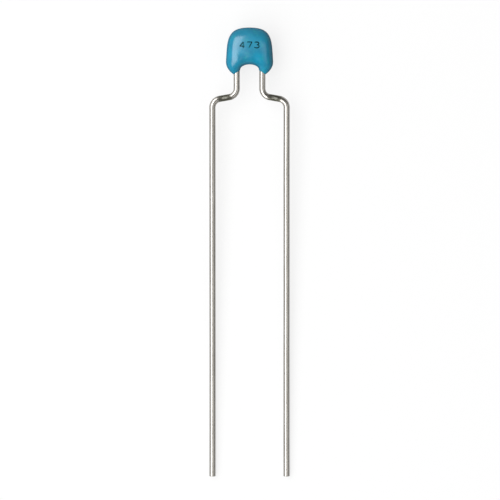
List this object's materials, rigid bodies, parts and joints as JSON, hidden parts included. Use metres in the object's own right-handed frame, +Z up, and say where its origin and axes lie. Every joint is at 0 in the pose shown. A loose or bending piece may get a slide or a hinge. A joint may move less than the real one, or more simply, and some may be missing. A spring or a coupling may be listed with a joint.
{
  "type": "radial ceramic capacitor",
  "caption": "Small blue epoxy-dipped ceramic capacitor with crimped radial wire leads, for through-hole circuit boards.",
  "frame": {"origin": "centre of the footprint, on the surface that the part lies on", "axes": "+Y from the lead tips towards the top of the body, +X across the leads, +Z up out of the front of the body"},
  "size_m": [0.0056, 0.0308, 0.0022],
  "materials": {
    "coating": "glossy",
    "lead": "satin",
    "solder": "satin",
    "termination": "satin",
    "ceramic": "matte",
    "electrode": "matte"
  },
  "bodies": {
    "root": {"coating": "coating", "left_lead": "lead", "right_lead": "lead", "left_solder": "solder", "right_solder": "solder", "left_termination": "termination", "right_termination": "termination", "ceramic": "ceramic", "left_electrodes": "electrode", "right_electrodes": "electrode"}
  },
  "joints": []
}
